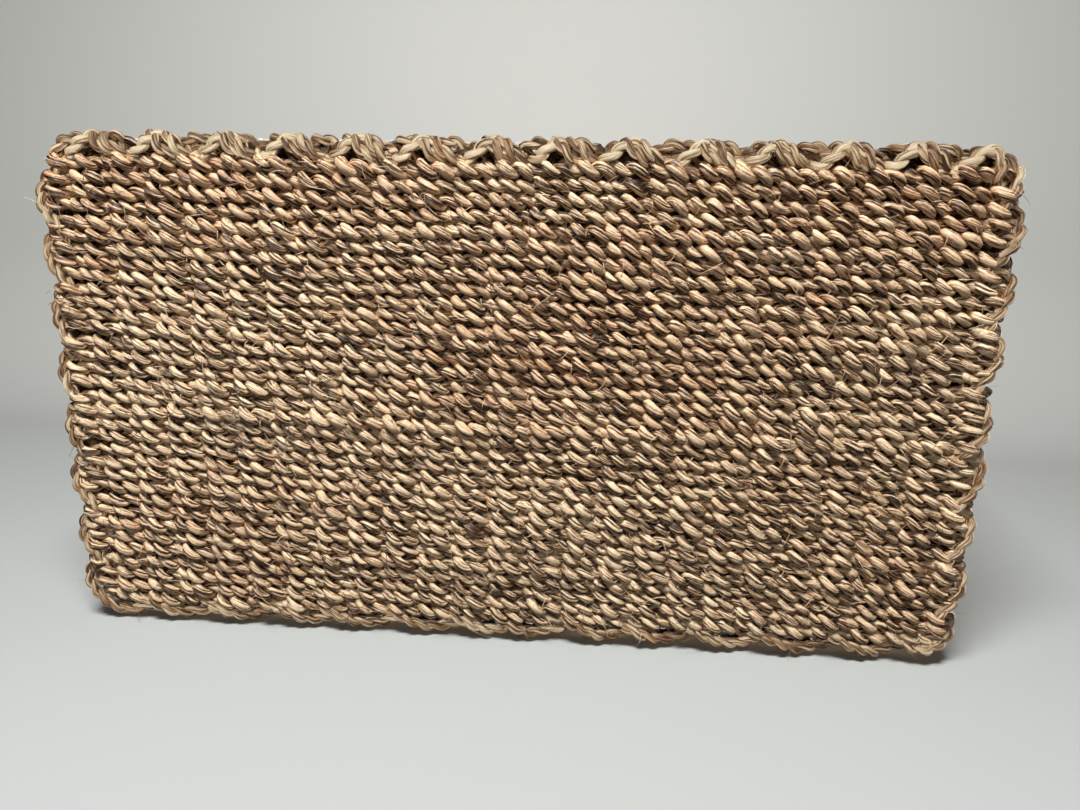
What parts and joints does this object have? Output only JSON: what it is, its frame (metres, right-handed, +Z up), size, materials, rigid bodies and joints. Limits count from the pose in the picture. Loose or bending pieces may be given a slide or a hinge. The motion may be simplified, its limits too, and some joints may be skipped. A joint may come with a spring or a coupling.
{
  "type": "twined seagrass beach bag",
  "caption": "Open-topped rectangular beach tote twined from seagrass rope, with a flared wall, a braided rim and a pair of rope carrying handles that swing on rope loops.",
  "frame": {"origin": "centre of the flat underside, on the plane it stands on", "axes": "+X along the bag's long side, +Y from the front wall to the back wall, +Z up to the open mouth"},
  "size_m": [0.434, 0.2374, 0.5086],
  "materials": {
    "seagrass_weave": "dry twisted seagrass cord, silky highlights, uneven tan and brown",
    "seagrass_edge": "glossier straw-coloured seagrass cord",
    "seagrass_stake": "plain pale cord",
    "rim_cord": "plain stiff cord",
    "handle_rope": "three-strand seagrass rope",
    "grip_cord": "close-wound seagrass cord",
    "whipping_cord": "close-wound thin cord",
    "becket_rope": "two-ply seagrass rope"
  },
  "bodies": {
    "basket": {"base_weave": "seagrass_weave", "base_edge_twine": "seagrass_edge", "wall_weave": "seagrass_weave", "cross_stakes": "seagrass_stake", "left_end_stakes": "seagrass_stake", "right_end_stakes": "seagrass_stake", "corner_stakes": "seagrass_stake", "rim_core": "rim_cord", "rim_braid": "seagrass_edge", "front_left_becket": "becket_rope", "front_right_becket": "becket_rope", "back_left_becket": "becket_rope", "back_right_becket": "becket_rope"},
    "front_handle_body": {"front_handle": "handle_rope", "front_grip_wrap": "grip_cord", "front_left_whipping": "whipping_cord", "front_right_whipping": "whipping_cord"},
    "back_handle_body": {"back_handle": "handle_rope", "back_grip_wrap": "grip_cord", "back_left_whipping": "whipping_cord", "back_right_whipping": "whipping_cord"}
  },
  "joints": [
    {"name": "front_handle_swing", "type": "hinge", "parent": "basket", "child": "front_handle_body", "pos_m": [0, -0.10756, 0.2991], "axis": [1, 0, 0], "range_deg": [-29, 130]},
    {"name": "back_handle_swing", "type": "hinge", "parent": "basket", "child": "back_handle_body", "pos_m": [0, 0.10756, 0.2991], "axis": [-1, 0, 0], "range_deg": [-29, 130]}
  ]
}
